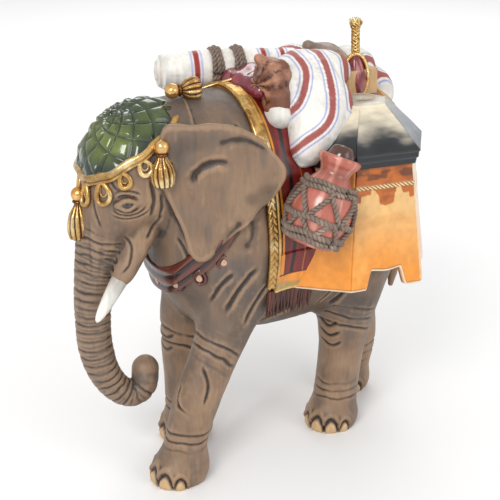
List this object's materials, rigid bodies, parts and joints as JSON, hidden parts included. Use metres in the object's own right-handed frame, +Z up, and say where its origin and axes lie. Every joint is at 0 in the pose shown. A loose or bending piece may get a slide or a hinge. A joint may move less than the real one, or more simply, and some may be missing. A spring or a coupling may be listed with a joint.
{
  "type": "carved elephant figurine",
  "caption": "Painted carved wooden elephant walking under a load: cap, tassels, blanket, roofed panniers, jug and cloth bundles.",
  "frame": {"origin": "on the floor, under the middle of the figure's plan", "axes": "+Z up, the elephant faces -Y, its left side is +X"},
  "size_m": [0.0982, 0.1442, 0.16],
  "materials": {
    "skin": "satin",
    "ivory": "satin",
    "eye_black": "gloss",
    "cap_green": "gloss",
    "gold_leaf": "gloss",
    "tassel_gold": "gloss",
    "collar_brown": "gloss",
    "blanket_maroon": "satin",
    "fringe_brown": "satin",
    "pannier_orange": "satin",
    "roof_slate": "satin",
    "cushion_purple": "gloss",
    "cloth_white": "satin",
    "bundle_brown": "satin",
    "taupe": "satin",
    "bag_maroon": "gloss",
    "terracotta": "satin",
    "stopper_brown": "gloss",
    "rope_grey": "matte",
    "rod_gold": "gloss",
    "bare_wood": "matte",
    "cord_gold": "gloss"
  },
  "bodies": {
    "root": {"bedroll": "cloth_white", "bedroll_ropes": "rope_grey", "blanket_braid": "gold_leaf", "body": "skin", "brown_bundle": "bundle_brown", "cap_lace": "gold_leaf", "collar": "collar_brown", "collar_pendants": "collar_brown", "ear_left": "skin", "ear_right": "skin", "eyes": "eye_black", "fringe_left": "fringe_brown", "fringe_right": "fringe_brown", "goad_rod": "rod_gold", "gold_tie": "cord_gold", "head": "skin", "jug": "terracotta", "jug_net": "rope_grey", "jug_stopper": "stopper_brown", "leg_dowels": "bare_wood", "leg_front_left": "skin", "leg_front_right": "skin", "leg_rear_left": "skin", "leg_rear_right": "skin", "load_dowels": "bare_wood", "maroon_bag": "bag_maroon", "neck_dowel": "bare_wood", "pack_block": "bare_wood", "pannier_left": "pannier_orange", "pannier_right": "pannier_orange", "pannier_roof_left": "roof_slate", "pannier_roof_right": "roof_slate", "rear_bundle": "cloth_white", "saddle_blanket": "blanket_maroon", "saddle_cushion": "cushion_purple", "side_panel_left": "blanket_maroon", "side_panel_right": "blanket_maroon", "skullcap": "cap_green", "striped_bundle_left": "cloth_white", "striped_bundle_right": "cloth_white", "tail": "skin", "tassel_back": "tassel_gold", "tassel_front": "tassel_gold", "tassel_left": "tassel_gold", "tassel_right": "tassel_gold", "taupe_bundle": "taupe", "trunk": "skin", "tusk_left": "ivory", "tusk_right": "ivory", "white_sack": "cloth_white"}
  },
  "joints": []
}
